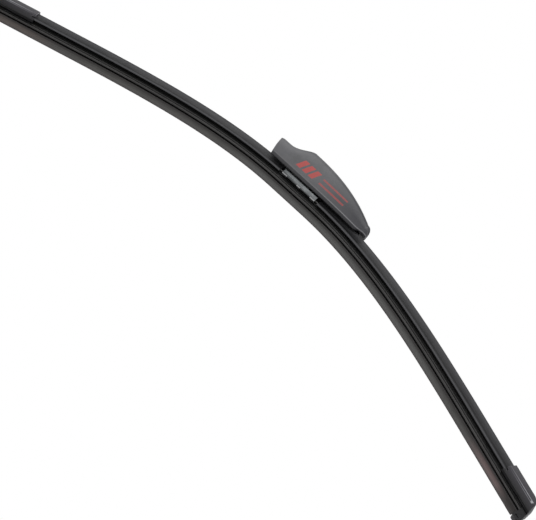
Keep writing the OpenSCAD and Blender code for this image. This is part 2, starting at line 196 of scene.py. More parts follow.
def half_line(half):
    """Points (x, z) from the rivet to one end, at the rail underside."""
    count = round(half / PATH_STEP)
    step = half / count
    x, z = 0.0, -PIN_RISE
    points = [(x, z)]
    for i in range(count):
        angle = turned(half, (i + 0.5) * step)
        x += step * math.cos(angle)
        z -= step * math.sin(angle)
        points.append((x, z))
    return points


def blade_points():
    """The rail underside from the nose-side end to the tail-side one."""
    left = [(-x, z) for x, z in reversed(half_line(HALF_LEFT))]
    return [(x, 0.0, z) for x, z in left + half_line(HALF_RIGHT)[1:]]


def helper_curve(name, points, closed):
    """A straight-segment curve in metres that the strips read; it is removed afterwards."""
    curve = bpy.data.curves.new(name, "CURVE")
    curve.dimensions = "3D"
    spline = curve.splines.new("POLY")
    spline.points.add(len(points) - 1)
    for place, point in zip(spline.points, points):
        place.co = (*(c * MM for c in point), 1.0)
    spline.use_cyclic_u = closed
    return added(name, curve)


# Section outlines as (u, w)

def mirrored(side):
    return [(-u, w) for u, w in side]


def softened(points, radius, closed=True, steps=2):
    """The outline with each corner cut back by up to radius and rounded."""
    out = []
    count = len(points)
    for i, corner in enumerate(points):
        if not closed and i in (0, count - 1):
            out.append(corner)
            continue
        here = Vector(corner)
        before = Vector(points[i - 1]) - here
        after = Vector(points[(i + 1) % count]) - here
        back = min(radius, before.length * CORNER_SHARE)
        ahead = min(radius, after.length * CORNER_SHARE)
        start = here + before.normalized() * back
        end = here + after.normalized() * ahead
        for k in range(steps + 1):
            t = k / steps
            spot = start * (1 - t) ** 2 + here * 2 * t * (1 - t) + end * t**2
            out.append((spot.x, spot.y))
    return out


# One side of the wiping rubber: lip, neck, two shoulders with a groove, waist, flange and head
RUBBER_SIDE = [
    (0.35, -14.01), (0.45, -12.56), (0.9, -11.11), (2.4, -9.16), (2.6, -8.71), (2.5, -8.21),
    (0.6, -8.16), (0.6, -6.96), (2.85, -6.91), (3.0, -6.71), (3.0, -5.05), (2.3, -5.0),
    (2.3, -4.8), (3.0, -4.75), (3.0, -3.71), (2.8, -3.51), (1.6, -3.41), (1.6, -1.31),
    (3.2, -1.21), (3.2, -0.08), (0.95, -0.06), (0.95, 0.96), (3.2, 0.98), (3.2, 2.01),
    (2.7, 2.41)]


def rubber_outline():
    return RUBBER_SIDE + list(reversed(mirrored(RUBBER_SIDE)))


def rail_outline(side):
    near_edge, far_edge = RAIL_INNER * side, RAIL_OUTER * side
    return [(near_edge, 0.0), (far_edge, 0.0), (far_edge, RAIL_THICKNESS), (near_edge, RAIL_THICKNESS)]


def spoiler_face(t):
    """Hollow side of the spoiler, from its foot over the lower lip to its top."""
    return (FACE_FOOT * (1 - t) ** FACE_POWER + FACE_TOP * t, FACE_LOW + FACE_RISE * t)


def spoiler_outline():
    """Both sides of the spoiler, with the claws that grip the rails and the space inside."""
    outer = [(4.73, -0.75), (5.9, -1.6), (6.3, -1.25), (6.2, 0.4)]
    outer += [spoiler_face(i / FACE_STEPS) for i in range(FACE_STEPS + 1)]
    outer += [(0.4, 9.12)]
    inner = [(4.73, -0.06), (5.75, -0.05), (5.75, 0.76), (5.7, 0.96), (4.63, 0.97)]
    for i in range(1, SPACE_POINTS + 1):
        u, w = spoiler_face(i * SPACE_STEP)
        inner.append((max(SPACE_HALF, u - SPOILER_WALL), w))
    inner += [(0.3, 7.9)]
    ring = list(reversed(mirrored(outer))) + mirrored(inner)
    return ring + list(reversed(inner)) + outer


# Geometry Nodes tree for everything extruded along the blade

STRIP_INPUTS = [
    ("Geometry", "Geometry"), ("Path", "Object"), ("Profile", "Object"), ("Start", "Float"),
    ("End", "Float"), ("Finish", "Material")]


def stored(tree, kind, name, curve, value):
    """The curve with a value stored on its points under a name."""
    node = tree.nodes.new("GeometryNodeStoreNamedAttribute")
    node.data_type = kind
    node.domain = "POINT"
    node.inputs["Name"].default_value = name
    tree.links.new(curve, node.inputs["Geometry"])
    tree.links.new(value, node.inputs["Value"])
    return node.outputs["Geometry"]


def curve_of(tree, holder):
    node = tree.nodes.new("GeometryNodeObjectInfo")
    tree.links.new(holder, node.inputs["Object"])
    return node.outputs["Geometry"]


def trimmed(tree, curve, given):
    """The stretch of the curve from the length Start to the length End."""
    node = tree.nodes.new("GeometryNodeTrimCurve")
    node.mode = "LENGTH"
    tree.links.new(curve, node.inputs["Curve"])
    for socket in node.inputs:
        if socket.name in ("Start", "End") and socket.identifier.endswith("_001"):
            tree.links.new(given[socket.name], socket)
    return node.outputs["Curve"]


def held_upright(tree, curve):
    """The curve with its sections across the blade."""
    node = tree.nodes.new("GeometryNodeSetCurveNormal")
    node.mode = "FREE"
    node.inputs["Normal"].default_value = (0.0, 1.0, 0.0)
    tree.links.new(curve, node.inputs["Curve"])
    return node.outputs["Curve"]


def strip_tree():
    """A tree that draws a profile along the path and stores where each point lies on both."""
    tree = bpy.data.node_groups.new("strip along the blade", "GeometryNodeTree")
    for name, kind in STRIP_INPUTS:
        tree.interface.new_socket(name, in_out="INPUT", socket_type="NodeSocket" + kind)
    tree.interface.new_socket("Geometry", in_out="OUTPUT", socket_type="NodeSocketGeometry")
    nodes, links = tree.nodes, tree.links
    given = nodes.new("NodeGroupInput").outputs
    along = nodes.new("GeometryNodeSplineParameter").outputs["Length"]
    place = nodes.new("GeometryNodeInputPosition").outputs["Position"]
    path = stored(tree, "FLOAT", "run", curve_of(tree, given["Path"]), along)
    section = stored(tree, "FLOAT_VECTOR", "section", curve_of(tree, given["Profile"]), place)
    skin = nodes.new("GeometryNodeCurveToMesh")
    skin.inputs["Fill Caps"].default_value = True
    links.new(held_upright(tree, trimmed(tree, path, given)), skin.inputs["Curve"])
    links.new(section, skin.inputs["Profile Curve"])
    real = nodes.new("GeometryNodeRealizeInstances")
    links.new(skin.outputs["Mesh"], real.inputs["Geometry"])
    finish = nodes.new("GeometryNodeSetMaterial")
    links.new(real.outputs["Geometry"], finish.inputs["Geometry"])
    links.new(given["Finish"], finish.inputs["Material"])
    result = nodes.new("NodeGroupOutput")
    links.new(finish.outputs["Geometry"], result.inputs["Geometry"])
    return tree


def plain_mesh(holder, name):
    """The evaluated object as a new plain object, with the old one removed."""
    view = bpy.context.evaluated_depsgraph_get()
    view.update()
    mesh = bpy.data.meshes.new_from_object(holder.evaluated_get(view), depsgraph=view)
    mesh.name = name
    piece = added(name, mesh)
    bpy.data.objects.remove(holder)
    return piece


def tidy_shell(piece, crisp_over):
    """Doubles merged, faces turned outwards, and corners over an angle kept crisp."""
    form = bmesh.new()
    form.from_mesh(piece.data)
    bmesh.ops.remove_doubles(form, verts=form.verts, dist=MERGE_WITHIN)
    bmesh.ops.recalc_face_normals(form, faces=form.faces)
    form.to_mesh(piece.data)
    form.free()
    piece.data.shade_smooth()
    piece.data.set_sharp_from_angle(angle=math.radians(crisp_over))


def strip(name, tree, path, outline, run, finish):
    """One extruded piece: its outline drawn along a stretch of the path."""
    profile = helper_curve(name + " profile", [(u, w, 0.0) for u, w in outline], True)
    holder = added(name + " holder", bpy.data.meshes.new(name + " holder"))
    modifier = holder.modifiers.new("strip", "NODES")
    modifier.node_group = tree
    start, end = run
    values = {"Path": path, "Profile": profile, "Start": start * MM, "End": end * MM, "Finish": finish}
    for item in tree.interface.items_tree:
        if item.in_out == "INPUT" and item.name in values:
            modifier[item.identifier] = values[item.name]
    piece = plain_mesh(holder, name)
    bpy.data.objects.remove(profile)
    tidy_shell(piece, STRIP_CRISP_OVER)
    return piece


# The cover, as one closed shell of rings

def clamp01(value):
    return max(0.0, min(1.0, value))


def smooth(value):
    t = clamp01(value)
    return t * t * (3 - 2 * t)


def risen(x):
    """Share of the way that the crest has risen from the nose to the hood."""
    return smooth(clamp01((x - RISE_FROM) / (RISE_TO - RISE_FROM)) ** RISE_POWER)


def rounded_off(x):
    """Share of the way that the tail has closed."""
    t = clamp01((x - ROUND_FROM) / (TAIL_X - ROUND_FROM))
    return 1 - math.sqrt(1 - TAIL_ROUND * t * t)


def edge_at(x):
    return COVER_EDGE + EDGE_RISE * smooth((x - EDGE_RISE_FROM) / (ROUND_FROM - EDGE_RISE_FROM))


def ridge_at(x):
    return COVER_RIDGE + RIDGE_RISE * smooth((x - EDGE_RISE_FROM) / (TAIL_X - EDGE_RISE_FROM))


def crest_at(x):
    fall = TAIL_FALL * clamp01((x - RISE_TO) / (ROUND_FROM - RISE_TO)) ** FALL_POWER
    tip = NOSE_DROP * clamp01(1 - (x - NOSE_X) / DROP_REACH) ** 2
    top = NOSE_HEIGHT + (HOOD_HEIGHT - NOSE_HEIGHT) * risen(x) - fall - tip
    return top - (top - ridge_at(x) - TAIL_OVER_RIDGE) * rounded_off(x)


def half_at(x):
    plain = COVER_HALF - NARROWING * clamp01((x - NARROW_FROM) / (ROUND_FROM - NARROW_FROM)) ** 2
    return plain - (plain - TAIL_HALF) * rounded_off(x)


def crest_half_at(x):
    return (CREST_HALF - CREST_NARROWING * risen(x)) * (1 - CREST_TAIL_LOSS * rounded_off(x))


def hood_side(x, wall):
    """Half of the cover's section as (u, w), from the lower edge to the crest."""
    half = half_at(x) - wall
    crest = crest_at(x) - wall
    ridge = ridge_at(x)
    top_half = min(crest_half_at(x) - wall * CREST_WALL_SHARE, half * CREST_LIMIT)
    drop = min(SHOULDER_DROP, (crest - ridge) * SHOULDER_LIMIT)
    shoulder = crest - drop
    bulge = SIDE_BULGE * clamp01((crest - ridge) / BULGE_FULL_AT)
    inset = EDGE_INSET * (1 - rounded_off(x) * INSET_TAIL_LOSS)
    side = [(half - inset, edge_at(x)), (half, ridge)]
    for i in range(1, SIDE_POINTS):
        t = i / SIDE_POINTS
        side.append((half + (top_half - half) * t + bulge * math.sin(math.pi * t),
                     ridge + (shoulder - ridge) * t))
    for i in range(CREST_POINTS):
        a = math.pi / 2 * i / CREST_POINTS
        side.append((top_half * math.cos(a), shoulder + drop * math.sin(a)))
    corner = softened(side[:3], EDGE_ROUND, closed=False, steps=EDGE_ROUND_STEPS)
    return corner + side[3:] + [(0.0, crest)]


def hood_ring(x, wall):
    """The cover's section at x, which leans over and has its top corner rounded near the nose."""
    side = hood_side(x, wall)
    near_nose = clamp01(1 - (x - NOSE_X) / LEAN_REACH)
    points = []
    for u, w in mirrored(side) + list(reversed(side[:-1])):
        lean = NOSE_LEAN * (NOSE_HEIGHT - w)
        corner = NOSE_ROUND * max(0.0, w - NOSE_HEIGHT + ROUND_DEPTH) ** 2
        points.append(Vector((x + near_nose * (lean + corner), u, w - PIN_RISE)) * MM)
    return points


def hood_stations():
    body = [NOSE_X + (ROUND_FROM - NOSE_X) * i / BODY_STATIONS for i in range(BODY_STATIONS + 1)]
    tail = [ROUND_FROM + (TAIL_X - ROUND_FROM) * math.sin(math.pi / 2 * i / TAIL_STATIONS)
            for i in range(1, TAIL_STATIONS + 1)]
    return body + tail


def add_skin(form, rings):
    for first, second in zip(rings, rings[1:]):
        for j in range(len(first) - 1):
            form.faces.new((first[j], second[j], second[j + 1], first[j + 1]))


def add_rims(form, outer, inner):
    """Closes the wall round the nose and along the two lower edges."""
    for j in range(len(outer[0]) - 1):
        form.faces.new((outer[0][j], outer[0][j + 1], inner[0][j + 1], inner[0][j]))
    for k in range(BODY_STATIONS):
        for j in (0, -1):
            form.faces.new((outer[k][j], outer[k + 1][j], inner[k + 1][j], inner[k][j]))


def add_tail(form, outer, inner):
    """Closes the solid tail: its underside, its end, and its face towards the hollow."""
    last_in, last_out, first_tail = inner[-1], outer[BODY_STATIONS], outer[BODY_STATIONS + 1]
    form.faces.new((first_tail[0], last_out[0], last_in[0], last_in[-1], last_out[-1], first_tail[-1]))
    for first, second in zip(outer[BODY_STATIONS + 1:], outer[BODY_STATIONS + 2:]):
        form.faces.new((first[0], first[-1], second[-1], second[0]))
    form.faces.new(last_in)
    form.faces.new(outer[-1])


def cover_shell(name):
    stations = hood_stations()
    hollow = stations[:BODY_STATIONS + 1]
    form = bmesh.new()
    outer = [[form.verts.new(p) for p in hood_ring(x, 0)] for x in stations]
    inner = [[form.verts.new(p) for p in hood_ring(x, COVER_WALL)] for x in hollow]
    add_skin(form, outer)
    add_skin(form, inner)
    add_rims(form, outer, inner)
    add_tail(form, outer, inner)
    bmesh.ops.recalc_face_normals(form, faces=form.faces)
    mesh = bpy.data.meshes.new(name)
    form.to_mesh(mesh)
    form.free()
    return added(name, mesh)


# Rounded edges, for the cover and for the pieces that keep the CAD's form

def bevelled(holder, name, width, round_over, crisp_over):
    """The object as a plain one with the edges over an angle rounded."""
    modifier = holder.modifiers.new("edges", "BEVEL")
    modifier.width = width * MM
    modifier.segments = ROUND_SEGMENTS
    modifier.limit_method = "ANGLE"
    modifier.angle_limit = math.radians(round_over)
    modifier.use_clamp_overlap = True
    piece = plain_mesh(holder, name)
    tidy_shell(piece, crisp_over)
    return piece


def from_cad(node, width):
    """A merged copy of a node's mesh with its edges rounded."""
    name = node + "_smooth"
    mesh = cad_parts[node].data.copy()
    form = bmesh.new()
    form.from_mesh(mesh)
    bmesh.ops.remove_doubles(form, verts=form.verts, dist=MERGE_WITHIN)
    bmesh.ops.dissolve_limit(form, angle_limit=math.radians(FLAT_WITHIN), verts=form.verts,
                             edges=form.edges)
    bmesh.ops.recalc_face_normals(form, faces=form.faces)
    form.to_mesh(mesh)
    form.free()
    mesh.materials.clear()
    holder = added(name + " holder", mesh)
    return bevelled(holder, name, width, CAD_ROUND_OVER, CAD_CRISP_OVER)


# Small builders for shader nodes

def srgb(red, green, blue):
    """A colour as seen on screen, 0 to 255, turned to the linear values that shaders take."""
    def one(value):
        v = value / 255
        return v / 12.92 if v <= 0.04045 else ((v + 0.055) / 1.055) ** 2.4
    return (one(red), one(green), one(blue), 1.0)


def wire(tree, source, target):
    """Links a socket to a target, or sets the target to a plain value."""
    if isinstance(source, bpy.types.NodeSocket):
        tree.links.new(source, target)
    else:
        target.default_value = source


def maths(tree, operation, *terms):
    node = tree.nodes.new("ShaderNodeMath")
    node.operation = operation
    for socket, term in zip(node.inputs, terms):
        wire(tree, term, socket)
    return node.outputs[0]


def times(tree, first, second):
    return maths(tree, "MULTIPLY", first, second)


def ranged(tree, value, low, high, to_low=0.0, to_high=1.0):
    """The value moved from one range to another, and held inside it."""
    node = tree.nodes.new("ShaderNodeMapRange")
    for name, term in (("Value", value), ("From Min", low), ("From Max", high),
                       ("To Min", to_low), ("To Max", to_high)):
        wire(tree, term, node.inputs[name])
    return node.outputs["Result"]


def near(tree, value, place, gone, full):
    """Mask by the distance from a place, in millimetres: 0 where it is gone and 1 where it is full."""
    off = maths(tree, "ABSOLUTE", maths(tree, "SUBTRACT", value, place * MM))
    return ranged(tree, off, gone * MM, full * MM)


def mixed(tree, amount, first, second):
    node = tree.nodes.new("ShaderNodeMix")
    node.data_type = "RGBA"
    wire(tree, amount, node.inputs[0])
    wire(tree, first, node.inputs[6])
    wire(tree, second, node.inputs[7])
    return node.outputs[2]


def tinted(tree, colour, shade, mask, strength):
    """The colour moved towards a shade where the mask is on."""
    return mixed(tree, times(tree, mask, strength), colour, shade)


def noise(tree, vector, scale, detail=2.0, roughness=0.5):
    node = tree.nodes.new("ShaderNodeTexNoise")
    for name, term in (("Vector", vector), ("Scale", scale), ("Detail", detail),
                       ("Roughness", roughness)):
        wire(tree, term, node.inputs[name])
    return node.outputs["Fac"]


def sized_noise(tree, vector, size, detail, roughness=0.5):
    """Noise whose patches have a size in metres."""
    return noise(tree, vector, maths(tree, "DIVIDE", 1.0, size), detail, roughness)


def joined(tree, x, y, z):
    node = tree.nodes.new("ShaderNodeCombineXYZ")
    for socket, term in zip(node.inputs, (x, y, z)):
        wire(tree, term, socket)
    return node.outputs[0]


def split(tree, vector):
    node = tree.nodes.new("ShaderNodeSeparateXYZ")
    wire(tree, vector, node.inputs[0])
    return node.outputs


def attribute(tree, name):
    node = tree.nodes.new("ShaderNodeAttribute")
    node.attribute_name = name
    return node.outputs


def shader_group(name, inputs, outputs):
    group = bpy.data.node_groups.new(name, "ShaderNodeTree")
    for label, kind in inputs:
        group.interface.new_socket(label, in_out="INPUT", socket_type="NodeSocket" + kind)
    for label, kind in outputs:
        group.interface.new_socket(label, in_out="OUTPUT", socket_type="NodeSocket" + kind)
    return group, group.nodes.new("NodeGroupInput").outputs, group.nodes.new("NodeGroupOutput").inputs


def placed(tree, group, **values):
    """A group placed in a material; underscores in the names stand for spaces."""
    node = tree.nodes.new("ShaderNodeGroup")
    node.node_tree = group
    for name, value in values.items():
        wire(tree, value, node.inputs[name.replace("_", " ")])
    return node.outputs


# Shared effects

def moulded_grain_group():
    """Fine moulded texture, and a slow change of tone from how the plastic flowed."""
    group, given, out = shader_group(
        "moulded grain",
        [("Vector", "Vector"), ("Grain size", "Float"), ("Flow size", "Float")],
        [("Height", "Float"), ("Tone", "Float")])
    fine = sized_noise(group, given["Vector"], given["Grain size"], detail=3.0, roughness=0.6)
    slow = sized_noise(group, given["Vector"], given["Flow size"], detail=4.0, roughness=0.62)
    wire(group, fine, out["Height"])
    wire(group, ranged(group, slow, 0.3, 0.7), out["Tone"])
    return group


def drawn_lines_group():
    """Lines that an extrusion die or a roller leaves along a strip, and uneven patches."""
    group, given, out = shader_group(
        "drawn lines",
        [("Run", "Float"), ("Section", "Vector"), ("Line size", "Float"), ("Stretch", "Float")],
        [("Lines", "Float"), ("Patches", "Float")])
    u, w, _ = split(group, given["Section"])
    drawn_out = joined(group, maths(group, "DIVIDE", given["Run"], given["Stretch"]), u, w)
    lines = sized_noise(group, drawn_out, given["Line size"], detail=2.0, roughness=0.55)
    spread = joined(group, times(group, given["Run"], 0.4), u, w)
    patches = noise(group, spread, scale=90.0, detail=4.0, roughness=0.65)
    wire(group, ranged(group, lines, 0.3, 0.7), out["Lines"])
    wire(group, ranged(group, patches, 0.35, 0.7), out["Patches"])
    return group


def edge_sheen_and_wear_group():
    """Mask of the edges, broken up by noise, for polish from handling and for a painted highlight."""
    group, given, out = shader_group(
        "edge wear",
        [("Vector", "Vector"), ("Radius", "Float"), ("Patch size", "Float")],
        [("Mask", "Float")])
    rounded = group.nodes.new("ShaderNodeBevel")
    rounded.samples = 4
    wire(group, given["Radius"], rounded.inputs["Radius"])
    plain = group.nodes.new("ShaderNodeNewGeometry")
    dot = group.nodes.new("ShaderNodeVectorMath")
    dot.operation = "DOT_PRODUCT"
    wire(group, rounded.outputs["Normal"], dot.inputs[0])
    wire(group, plain.outputs["Normal"], dot.inputs[1])
    edge = ranged(group, dot.outputs["Value"], 0.995, 0.9)
    broken = sized_noise(group, given["Vector"], given["Patch size"], detail=3.0)
    wire(group, times(group, edge, ranged(group, broken, 0.35, 0.6)), out["Mask"])
    return group


def settled_dust_group():
    """Thin dust that lies more on faces turned upwards."""
    group, given, out = shader_group(
        "settled dust",
        [("Vector", "Vector"), ("Up", "Vector"), ("Patch size", "Float"), ("Amount", "Float")],
        [("Mask", "Float")])
    facing = ranged(group, split(group, given["Up"])[2], -0.2, 0.9, 0.25, 1.0)
    patch = sized_noise(group, given["Vector"], given["Patch size"], detail=5.0, roughness=0.7)
    mask = times(group, facing, ranged(group, patch, 0.42, 0.72))
    wire(group, times(group, mask, given["Amount"]), out["Mask"])
    return group


def faded_band_group():
    """Mask of the values between two limits, faded inside both."""
    group, given, out = shader_group(
        "faded band",
        [("Value", "Float"), ("Low", "Float"), ("High", "Float"), ("Fade", "Float")],
        [("Mask", "Float")])
    over = maths(group, "SUBTRACT", given["Value"], given["Low"])
    under = maths(group, "SUBTRACT", given["High"], given["Value"])
    inside = maths(group, "MINIMUM", maths(group, "DIVIDE", over, given["Fade"]),
                   maths(group, "DIVIDE", under, given["Fade"]))
    wire(group, ranged(group, inside, 0.0, 1.0), out["Mask"])
    return group


def printed_bar_group():
    """One slanted bar of print on the near side of the cover."""
    group, given, out = shader_group(
        "printed bar",
        [("Vector", "Vector"), ("Left", "Float"), ("Right", "Float"), ("Low", "Float"),
         ("High", "Float"), ("Slant", "Float")],
        [("Mask", "Float")])
    x, y, z = split(group, given["Vector"])
    lifted = maths(group, "SUBTRACT", z, given["Low"])
    leaned = maths(group, "SUBTRACT", x, times(group, lifted, given["Slant"]))
    tests = [
        maths(group, "GREATER_THAN", leaned, given["Left"]),
        maths(group, "LESS_THAN", leaned, given["Right"]),
        maths(group, "GREATER_THAN", z, given["Low"]),
        maths(group, "LESS_THAN", z, given["High"]),
        maths(group, "LESS_THAN", y, 0.0)]
    mask = tests[0]
    for test in tests[1:]:
        mask = times(group, mask, test)
    wire(group, mask, out["Mask"])
    return group


def shared_groups():
    return {
        "grain": moulded_grain_group(),
        "lines": drawn_lines_group(),
        "sheen_and_wear": edge_sheen_and_wear_group(),
        "dust": settled_dust_group(),
        "band": faded_band_group(),
        "print": printed_bar_group()}


# Tables of the finishes

# Tones of the wiping rubber where it isn't the plain lip, by height: darker low on the lip and over the lip
# root; painted shade in the neck, in the groove between the shoulders, and over the waist and flange, whose
# near-black is partly the rubber's own; painted highlight along both shoulders.
# Each is a low and a high edge in w, the width it fades over, and the tone
RUBBER_PAINTED_LIGHT_BANDS = [
    (-17.0, -11.8, 2.5, srgb(52, 48, 48)),
    (-10.4, -6.5, 1.6, srgb(40, 37, 37)),
    (-8.4, -6.8, 0.15, srgb(7, 7, 7)),
    (-6.9, -3.4, 0.1, srgb(43, 42, 42)),
    (-6.1, -5.1, 0.3, srgb(56, 55, 54)),
    (-5.2, -4.1, 0.25, srgb(6, 6, 6)),
    (-4.1, -3.3, 0.2, srgb(46, 45, 44)),
    (-3.4, 3.0, 0.1, srgb(8, 8, 8))]

# The rubber is warm near its nose end, lighter in the middle, pinkish near its tail end and dark there.
# Each is a start and an end along the run, the length it fades over, the tone, and its strength
RUBBER_STRETCHES = [
    (-40.0, 60.0, 25.0, srgb(88, 79, 75), 0.6),
    (215.0, 500.0, 30.0, srgb(86, 86, 85), 0.7),
    (530.0, 600.0, 25.0, srgb(108, 92, 91), 0.8),
    (575.0, 640.0, 15.0, srgb(52, 49, 48), 1.0)]

# The spoiler's hollow side has painted shade low down, and its lower lip a painted highlight as a lighter
# line
SPOILER_PAINTED_LIGHT_BANDS = [
    (-0.3, 7.5, 5.0, srgb(21, 21, 22)),
    (-0.3, 3.2, 1.2, srgb(16, 16, 17)),
    (-2.0, -0.2, 0.3, srgb(78, 78, 80))]

# Print on the cover: left, right, low and high edge, slant, and strength of the ink
PRINT_BARS = [
    (-14.5, -10.0, -1.0, 8.6, 0.28, 0.85),
    (-8.0, -3.5, -1.0, 8.6, 0.28, 0.85),
    (-1.5, 3.0, -1.0, 8.6, 0.28, 0.85),
    (9.5, 36.0, 5.2, 7.0, 0.0, 0.55),
    (9.5, 36.0, -0.4, 1.4, 0.0, 0.55)]

# Heights of the flat along the cap's ridge: its middle, and its two edges with how bright their painted
# highlights are
CAP_FLAT = 3.5
CAP_HIGHLIGHT_EDGES = [(2.6, 0.35), (4.4, 0.8)]

# Heights of the bracket's painted shade line over its fold, and of where the painted highlight on its claws
# starts and is full
FOLD_SHADE_LINE = 0.3
CLAW_HIGHLIGHT_FROM = -0.35
CLAW_HIGHLIGHT_FULL = -0.75


# Materials

def new_material(name, roughness, specular, metallic=0.0):
    material = bpy.data.materials.new(name)
    material.use_nodes = True
    tree = material.node_tree
    shader = tree.nodes["Principled BSDF"]
    shader.inputs["Roughness"].default_value = roughness
    shader.inputs["Specular IOR Level"].default_value = specular
    shader.inputs["Metallic"].default_value = metallic
    return material, tree, shader


def coordinates(tree):
    """Object coordinates, and the way the surface faces."""
    node = tree.nodes.new("ShaderNodeTexCoord")
    return node.outputs["Object"], node.outputs["Normal"]


def bump(tree, shader, height, strength, distance):
    node = tree.nodes.new("ShaderNodeBump")
    node.inputs["Strength"].default_value = strength
    node.inputs["Distance"].default_value = distance
    wire(tree, height, node.inputs["Height"])
    wire(tree, node.outputs["Normal"], shader.inputs["Normal"])


def band_mask(tree, groups, value, low, high, fade):
    """Mask of the values between two limits, all given in millimetres."""
    return placed(tree, groups["band"], Value=value, Low=low * MM, High=high * MM, Fade=fade * MM)["Mask"]


def extruded_finish(name, groups, dark, light, roughness, specular, dust, painted_light_bands=(), stretches=()):
    """Extruded rubber: lines along the run, patches of bloom, a little dust, tones along the run, and bands
    by height of painted shade and painted highlight.
    """
    material, tree, shader = new_material(name, roughness, specular)
    place, up = coordinates(tree)
    run = attribute(tree, "run")["Fac"]
    section = attribute(tree, "section")["Vector"]
    height = split(tree, section)[1]
    drawn = placed(tree, groups["lines"], Run=run, Section=section, Line_size=0.6 * MM, Stretch=120.0)
    dusty = placed(tree, groups["dust"], Vector=place, Up=up, Patch_size=12 * MM, Amount=dust)
    tone = maths(tree, "ADD", times(tree, drawn["Lines"], 0.45), times(tree, drawn["Patches"], 0.55))
    colour = mixed(tree, tone, dark, light)
    colour = mixed(tree, dusty["Mask"], colour, srgb(150, 146, 140))
    for start, end, fade, shade, strength in stretches:
        stretch = band_mask(tree, groups, run, start, end, fade)
        colour = tinted(tree, colour, shade, stretch, strength)
    # Painted shade and painted highlight across the section, by height
    for low, high, fade, shade in painted_light_bands:
        colour = mixed(tree, band_mask(tree, groups, height, low, high, fade), colour, shade)
    wire(tree, colour, shader.inputs["Base Color"])
    rough = ranged(tree, drawn["Patches"], 0.0, 1.0, roughness - 0.06, roughness + 0.08)
    wire(tree, rough, shader.inputs["Roughness"])
    bump(tree, shader, drawn["Lines"], strength=0.25, distance=0.1 * MM)
    return material


def moulded_finish(name, groups, dark, light, roughness, specular, sheen_and_wear, dust):
    """Moulded plastic: fine grain, slow flow tone, edges lightened as polish and as a painted highlight,
    and a little dust.

    Its colour is wired to the shader, and is also given back for more tones to go over it."""
    material, tree, shader = new_material(name, roughness, specular)
    place, up = coordinates(tree)
    grained = placed(tree, groups["grain"], Vector=place, Grain_size=0.4 * MM, Flow_size=14 * MM)
    edge_sheen_and_wear = placed(tree, groups["sheen_and_wear"], Vector=place, Radius=0.7 * MM, Patch_size=6 * MM)["Mask"]
    dusty = placed(tree, groups["dust"], Vector=place, Up=up, Patch_size=10 * MM, Amount=dust)
    colour = mixed(tree, grained["Tone"], dark, light)
    # Edges lightened as polish from handling and as a painted highlight
    colour = tinted(tree, colour, srgb(150, 149, 152), edge_sheen_and_wear, sheen_and_wear)
    colour = mixed(tree, dusty["Mask"], colour, srgb(160, 157, 152))
    rough = ranged(tree, grained["Tone"], 0.0, 1.0, roughness - 0.05, roughness + 0.05)
    rough = maths(tree, "SUBTRACT", rough, times(tree, edge_sheen_and_wear, 0.12))
    wire(tree, rough, shader.inputs["Roughness"])
    bump(tree, shader, grained["Height"], strength=0.3, distance=0.12 * MM)
    wire(tree, colour, shader.inputs["Base Color"])
    return material, tree, shader, colour, place


def fold_shade_and_claw_highlight(tree, colour, x, z):
    """Painted shade as a dark line over the bracket's fold, and a painted highlight on the claws under it.
    """
    # Painted shade: a dark line over the fold
    painted_light_line = near(tree, z, FOLD_SHADE_LINE - PIN_RISE, gone=0.45, full=0.15)
    colour = tinted(tree, colour, srgb(30, 31, 32), painted_light_line, 0.5)
    # Painted highlight: the claws' undersides lit brighter
    claw_highlight = maths(tree, "MAXIMUM", near(tree, x, 0.0, gone=12.3, full=12.6),
                  near(tree, x, 0.0, gone=1.9, full=1.7))
    under = ranged(tree, z, (CLAW_HIGHLIGHT_FROM - PIN_RISE) * MM, (CLAW_HIGHLIGHT_FULL - PIN_RISE) * MM)
    return tinted(tree, colour, srgb(190, 191, 192), times(tree, claw_highlight, under), 0.85)


def plated_finish(name, groups, dark, light, roughness, folded=False):
    """Zinc-plated steel: rolling lines, spangle, edges lightened as scuffs and as a painted highlight, and
    painted shade and highlight where it is folded.
    """
    material, tree, shader = new_material(name, roughness, specular=0.5, metallic=1.0)
    place = coordinates(tree)[0]
    x, y, z = split(tree, place)
    across = joined(tree, y, z, 0.0)
    drawn = placed(tree, groups["lines"], Run=x, Section=across, Line_size=0.9 * MM, Stretch=25.0)
    edge_sheen_and_wear = placed(tree, groups["sheen_and_wear"], Vector=place, Radius=0.5 * MM, Patch_size=4 * MM)["Mask"]
    spangle = ranged(tree, noise(tree, place, scale=260.0, detail=4.0, roughness=0.6), 0.35, 0.65)
    tone = maths(tree, "ADD", times(tree, drawn["Lines"], 0.5), times(tree, spangle, 0.5))
    colour = mixed(tree, tone, dark, light)
    # Edges lightened as scuffs and as a painted highlight
    colour = tinted(tree, colour, srgb(205, 206, 205), edge_sheen_and_wear, 0.6)
    if folded:
        colour = fold_shade_and_claw_highlight(tree, colour, x, z)
    wire(tree, colour, shader.inputs["Base Color"])
    rough = ranged(tree, tone, 0.0, 1.0, roughness + 0.08, roughness - 0.06)
    wire(tree, rough, shader.inputs["Roughness"])
    bump(tree, shader, drawn["Lines"], strength=0.2, distance=0.06 * MM)
    return material


def printed_bars(tree, groups, place):
    """Mask of the plain bars on the cover, chipped a little."""
    bars = 0.0
    for left, right, low, high, slant, strength in PRINT_BARS:
        bar = placed(tree, groups["print"], Vector=place, Left=left * MM, Right=right * MM,
                     Low=low * MM, High=high * MM, Slant=slant)["Mask"]
        bars = maths(tree, "MAXIMUM", bars, times(tree, bar, strength))
    chips = ranged(tree, noise(tree, place, scale=900.0, detail=4.0, roughness=0.7), 0.3, 0.42)
    return times(tree, bars, chips)


